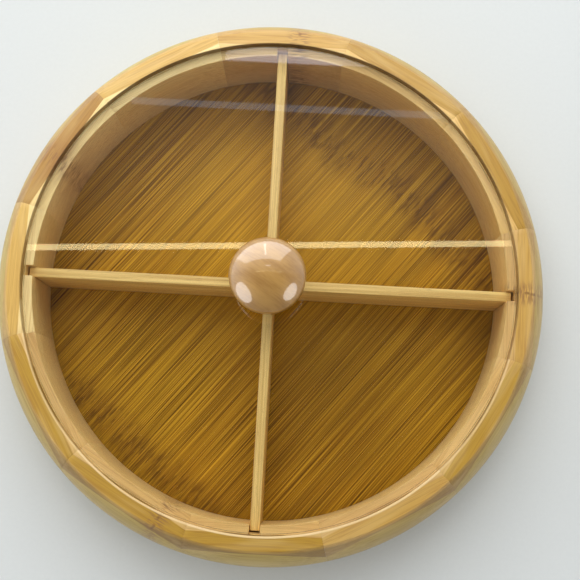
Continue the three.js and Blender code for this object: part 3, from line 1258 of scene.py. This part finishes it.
@dataclass
class Lid:
    """The clear disc with its turned knob, and the screw and washer that hold the knob on."""

    disc_steps: int = 192
    turned_steps: int = 96
    edge_ease: float = 0.4 * MM
    hole_radius: float = 2.3 * MM
    belly_height: float = 17.5 * MM
    neck_radius: float = 8.5 * MM
    neck_height: float = 7.5 * MM
    base_radius: float = 10.5 * MM
    base_ease: float = 1.2 * MM
    crown_edge: float = 3.4 * MM
    crown_tilt: float = math.radians(45.0)
    pilot_radius: float = 2.12 * MM
    pilot_depth: float = 18.0 * MM
    core_radius: float = 1.5 * MM
    shank_radius: float = 2.0 * MM
    shank_taper: float = 0.7 * MM
    recess_length: float = 4.6 * MM
    recess_width: float = 1.0 * MM
    recess_depth: float = 1.3 * MM
    head_ease: float = 0.25 * MM

    def disc(self) -> Piece:
        """Turn the clear disc, with polished chamfers at its edge.

        Returns:
            The disc.
        """
        low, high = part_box("lid_disc")
        edge = high.x
        ease = self.edge_ease
        outline = [
            Corner(self.hole_radius, low.z),
            Corner(edge - ease, low.z),
            Corner(edge, low.z + ease),
            Corner(edge, high.z - ease),
            Corner(edge - ease, high.z),
            Corner(self.hole_radius, high.z),
        ]
        piece = Bench.trace("clear_lid", [corner.point for corner in outline])
        Bench.spin(self.disc_steps)
        return piece

    def knob(self) -> Piece:
        """Turn the mushroom knob, with the pilot hole up its middle.

        Returns:
            The knob.
        """
        low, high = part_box("lid_knob")
        base = low.z
        radius = high.x
        waist_top = base + self.neck_height
        belly = base + self.belly_height
        middle = (waist_top + belly) / 2.0
        foot = at(self.base_radius, base + self.base_ease)
        neck = at(self.neck_radius, waist_top)
        pull = at(self.neck_radius, base + self.neck_height / 2.0)
        under = at(self.neck_radius, middle)
        flare = at(radius, middle)
        widest = at(radius, belly)
        steps = self.turned_steps // 6
        outline = [
            at(0.0, base + self.pilot_depth),
            at(self.pilot_radius, base + self.pilot_depth - self.pilot_radius),
            at(self.pilot_radius, base),
            at(self.base_radius - self.base_ease, base),
            *sweep(foot, pull, pull, neck, steps // 2),
            *sweep(neck, under, flare, widest, steps)[1:],
            *self.crown(radius, high.z, steps),
        ]
        piece = Bench.trace("turned_knob", outline, closed=False)
        Bench.spin(self.turned_steps)
        return piece

    def crown(self, radius: float, top: float, steps: int) -> list[Vector]:
        """Points of the knob's top: a tight round at its edge and a flat dome inside that.

        Args:
            radius: The knob's radius at its widest.
            top: Height of the dome's middle.
            steps: Straight pieces in the dome, and half as many in the round.

        Returns:
            The points, from the edge to the axis.
        """
        flat = radius - self.crown_edge
        bend = flat / math.sin(self.crown_tilt) + self.crown_edge
        centre = at(0.0, top - bend)
        hub = centre + at(flat, flat / math.tan(self.crown_tilt))
        turned = QUARTER_TURN - self.crown_tilt
        rounds = [QUARTER_TURN - turned * i / (steps // 2) for i in range(steps // 2)]
        slopes = [self.crown_tilt * (1.0 - i / steps) for i in range(steps + 1)]
        edge = [hub + self.crown_edge * at(math.sin(a), math.cos(a)) for a in rounds]
        return edge + [centre + bend * at(math.sin(a), math.cos(a)) for a in slopes]

    def washer(self) -> Piece:
        """Turn the flat washer and ease its stamped edges.

        Returns:
            The washer.
        """
        low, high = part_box("knob_washer")
        corners = [(self.hole_radius, low.z), (high.x, low.z), (high.x, high.z), (self.hole_radius, high.z)]
        piece = Bench.trace("flat_washer", [at(x, z) for x, z in corners])
        Bench.spin(self.turned_steps // 2)
        Bench.bevel(piece, self.head_ease / 2.0)
        return piece

    def screw(self) -> Piece:
        """Turn the pan head screw with its plain shank, and cut its cross recess.

        Returns:
            The screw.
        """
        low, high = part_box("knob_screw")
        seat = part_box("knob_washer")[0].z
        lid_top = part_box("lid_disc")[1].z
        head = high.x
        rise = (seat - low.z) / 2.0
        steps = self.turned_steps // 12
        quarters = [QUARTER_TURN * i / steps for i in range(steps + 1)]
        crown = [at(head * math.sin(a), seat - rise - rise * math.cos(a)) for a in quarters]
        outline = [
            *crown,
            at(head, seat),
            at(self.shank_radius, seat),
            at(self.shank_radius, lid_top),
            at(self.core_radius, lid_top + self.shank_taper),
            at(self.core_radius, high.z - self.shank_radius),
            at(0.0, high.z),
        ]
        piece = Bench.trace("pan_screw", outline, closed=False)
        Bench.spin(self.turned_steps // 2)
        below = at(0.0, low.z - self.recess_depth)
        above = at(0.0, low.z + self.recess_depth)
        long = self.recess_length / 2.0
        wide = self.recess_width / 2.0
        for reach in (Vector((long, wide, 0.0)), Vector((wide, long, 0.0))):
            Bench.cut(piece, Bench.block(below - reach, above + reach))
        return piece

    def build(self) -> list[Piece]:
        """Make and dress the lid's pieces.

        Returns:
            The disc, knob, washer and screw.
        """
        steel = SteelFinish().material()
        return [
            Fitting("lid", "clear_lid", "lid_disc").join(self.disc(), LidFinish().material()),
            Fitting("lid", "knob_wood", "lid_knob").join(self.knob(), KnobFinish().material()),
            Fitting("lid", "zinc_steel", "knob_washer").join(self.washer(), steel),
            Fitting("lid", "zinc_steel", "knob_screw").join(self.screw(), steel),
        ]


class LampShape(Enum):
    """Outline of a lamp's face, and the share of its width times height that glows."""

    RECTANGLE = 1.0
    ELLIPSE = math.pi / 4.0


class LampUse(Enum):
    """What a lamp is for: soft light, highlights in every polished face, or in all but the lid."""

    FILL = "fill"
    SHINE = "shine"
    GLINT = "glint"


@dataclass(frozen=True)
class Softbox:
    """A flat lamp: where it hangs, what it faces, its size and how bright its face is."""

    name: str
    place: tuple[float, float, float]
    aim: tuple[float, float, float]
    width: float
    height: float
    glow: float
    use: LampUse
    colour: int = 0xFFFFFF
    twist: float = 0.0
    shape: LampShape = LampShape.RECTANGLE

    def build(self) -> bpy.types.Object:
        """Hang the lamp.

        Returns:
            The lamp.
        """
        Bench.clear()
        bpy.ops.object.light_add(type="AREA", location=self.place)
        lamp = bpy.context.active_object
        lamp.name = self.name
        facing = (Vector(self.aim) - Vector(self.place)).to_track_quat("-Z", "Y")
        lamp.rotation_euler = (facing @ Quaternion(UP, self.twist)).to_euler()
        lamp.data.shape = self.shape.name
        lamp.data.size = self.width
        lamp.data.size_y = self.height
        lamp.data.energy = self.glow * math.pi * self.width * self.height * self.shape.value
        lamp.data.color = tint(self.colour)[:3]
        lamp.visible_camera = False
        lamp.visible_diffuse = self.use is LampUse.FILL
        lamp.visible_glossy = lamp.visible_transmission = self.use is not LampUse.FILL
        LOG.info("%s hangs at %s", lamp.name, self.place)
        return lamp


@dataclass
class Studio:
    """Pale paper under the tray, a bright wall behind it, a window on each side and a lit ceiling."""

    floor_side: float = 12.0
    floor_drop: float = 0.05 * MM
    horizon_glow: float = 1.8
    right_share: float = 0.5
    front_share: float = 0.18
    wall_start: float = 0.5
    ceiling_glow: float = 0.02
    haze_glow: float = 0.2
    haze_start: float = 0.15
    haze_end: float = 0.27
    sky: int = 0xF6FAFF
    lamps: tuple[Softbox, ...] = (
        Softbox("back_wall", (-1.2, 2.4, 1.5), (-1.2, 0.0, 1.5), 5.6, 2.8, 2.0, LampUse.GLINT),
        Softbox("back_glow", (-1.2, 2.4, 1.3), (-1.2, 0.0, 1.3), 5.6, 2.4, 1.9, LampUse.FILL),
        Softbox("door_gap", (-0.35, 2.3, 1.2), (-0.35, 0.0, 1.2), 0.16, 1.6, 3.0, LampUse.GLINT),
        Softbox("key_panel", (-0.04, 0.52, 0.8), (0.0, 0.0, 0.03), 1.0, 0.65, 2.25, LampUse.FILL),
        Softbox("ceiling_middle", (-0.1, -0.1, 2.2), (0.0, 0.0, 0.0), 2.0, 2.0, 1.1, LampUse.FILL),
        Softbox("front_bounce", (-0.2, -1.6, 1.2), (0.0, 0.0, 0.03), 2.4, 1.2, 0.55, LampUse.FILL),
        Softbox("left_window", (-1.95, -1.28, 0.97), (0.0, 0.0, 0.07), 2.0, 1.5, 3.1, LampUse.GLINT,
                shape=LampShape.ELLIPSE),
        Softbox("right_window", (2.05, -1.10, 1.17), (0.0, 0.0, 0.07), 1.8, 1.2, 3.1, LampUse.GLINT,
                shape=LampShape.ELLIPSE),
        Softbox("ceiling_tube", (0.0, 0.375, 1.85), (0.0, 0.375, 0.0), 2.4, 0.0135, 6.3, LampUse.SHINE,
                0xFFECB1, math.radians(3.5)),
        Softbox("skylight_strip", (-0.005, 0.737, 2.0), (-0.005, 0.737, 0.0), 0.87, 0.017, 0.95,
                LampUse.SHINE, 0xB4DAF8),
        Softbox("ceiling_lamp", (-0.01, 0.885, 2.0), (-0.01, 0.885, 0.0), 0.42, 0.07, 2.9, LampUse.SHINE,
                0xF2F2FF),
    )

    def build(self) -> None:
        """Lay the paper, hang the lamps and light the room."""
        Bench.clear()
        bpy.ops.mesh.primitive_plane_add(size=self.floor_side, location=(0.0, 0.0, -self.floor_drop))
        bpy.ops.object.transform_apply(location=True, rotation=True, scale=True)
        paper = bpy.context.active_object
        paper.name = paper.data.name = "studio_floor"
        paper.data.materials.append(BackgroundFinish().material())
        for lamp in self.lamps:
            lamp.build()
        self.room()

    def spare(self, lid: Piece) -> None:
        """Keep the bright wall's mirror image out of the clear lid, so that the tray shows through it.

        Args:
            lid: The clear disc.
        """
        spared = bpy.data.collections.new("spared_lid")
        spared.objects.link(lid)
        spared.collection_objects[0].light_linking.link_state = "EXCLUDE"
        for lamp in self.lamps:
            if lamp.use is LampUse.GLINT:
                bpy.data.objects[lamp.name].light_linking.receiver_collection = spared

    def room(self) -> None:
        """Fill the room with soft light that fades from the horizon to the ceiling."""
        world = bpy.data.worlds.new("studio_room")
        world.use_nodes = True
        board = NodeBoard(world.node_tree)
        way = board.node("TexCoord", {}).outputs["Generated"]
        across, back, height = board.axes(way)
        fade = board.node("Math", {0: 1.0, 1: height}, operation="SUBTRACT", use_clamp=True).outputs[0]
        across_share = board.ramp(across, -1.0, 1.0, 1.0, self.right_share)
        side = board.times(across_share, board.ramp(back, -1.0, self.wall_start, self.front_share, 1.0))
        haze = board.ramp(back, self.haze_start, self.haze_end, self.ceiling_glow, self.haze_glow)
        feeds = {0: board.times(fade, side), 1: self.horizon_glow, 2: haze}
        level = board.node("Math", feeds, operation="MULTIPLY_ADD").outputs[0]
        glow = board.node("Background", {"Color": tint(self.sky), "Strength": level}).outputs[0]
        board.node("OutputWorld", {"Surface": glow})
        bpy.context.scene.world = world


@dataclass
class PhotoCamera:
    """The camera above the tray, a little towards the front."""

    place: tuple[float, float, float] = (22.3 * MM, -83.7 * MM, 574.6 * MM)
    tilt: float = math.radians(8.77)
    lean: float = math.radians(0.77)
    turn: float = math.radians(3.2)
    lens: float = 66.4
    nearest: float = 10.0 * MM

    def build(self) -> bpy.types.Object:
        """Set up the camera and look through it.

        Returns:
            The camera.
        """
        Bench.clear()
        bpy.ops.object.camera_add(location=self.place, rotation=Euler((self.tilt, self.lean, self.turn)))
        camera = bpy.context.active_object
        camera.name = "photo_camera"
        camera.data.lens = self.lens
        camera.data.clip_start = self.nearest
        bpy.context.scene.camera = camera
        return camera


def main() -> None:
    """Set up the camera and the studio, then make every piece."""
    logging.basicConfig(level=logging.INFO, format="%(name)s: %(message)s")
    bpy.context.scene.view_settings.view_transform = "Standard"
    PhotoCamera().build()
    studio = Studio()
    studio.build()
    for assembly in (WallRing(), FloorPanel(), DividerCross(), Lid()):
        pieces = assembly.build()
        LOG.info("%s: %d pieces", type(assembly).__name__, len(pieces))
    studio.spare(bpy.data.objects["clear_lid"])


if __name__ == "__main__":
    main()
